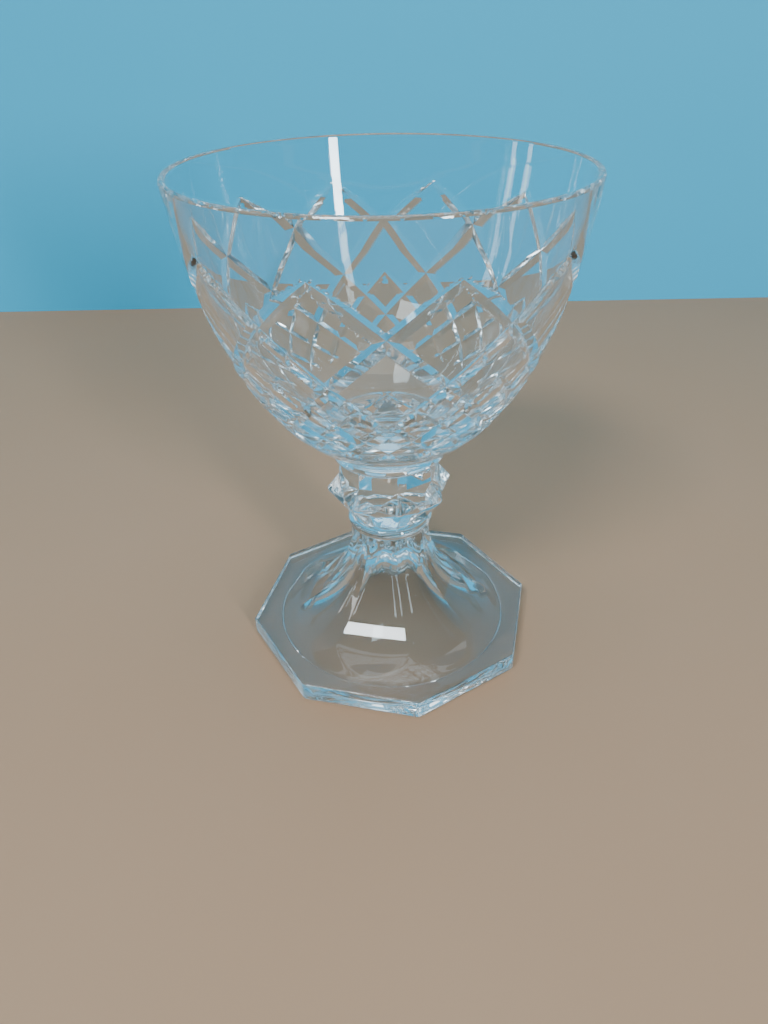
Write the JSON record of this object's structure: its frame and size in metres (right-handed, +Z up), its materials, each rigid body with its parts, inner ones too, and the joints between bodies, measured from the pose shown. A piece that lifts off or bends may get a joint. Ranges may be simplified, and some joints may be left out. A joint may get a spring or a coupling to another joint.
{
  "type": "wine glass",
  "caption": "Clear cut-crystal wine goblet: round bowl with crossed mitre cuts, spiked faceted knop between two collars, fluted trumpet on an octagonal foot.",
  "frame": {"origin": "on the resting plane, under the middle of the foot", "axes": "+Z up along the axis of the bowl; one corner of the foot lies 9 degrees round from +X"},
  "size_m": [0.09, 0.09, 0.1241],
  "materials": {
    "foot_crystal": "fire-polished clear lead crystal",
    "collar_crystal": "fire-polished clear lead crystal",
    "knop_crystal": "pressed and polished facets in clear lead crystal",
    "bowl_crystal": "clear lead crystal with acid-polished mitre cuts"
  },
  "bodies": {
    "root": {"foot": "foot_crystal", "lower_collar": "collar_crystal", "knop": "knop_crystal", "upper_collar": "collar_crystal", "bowl": "bowl_crystal"}
  },
  "joints": []
}
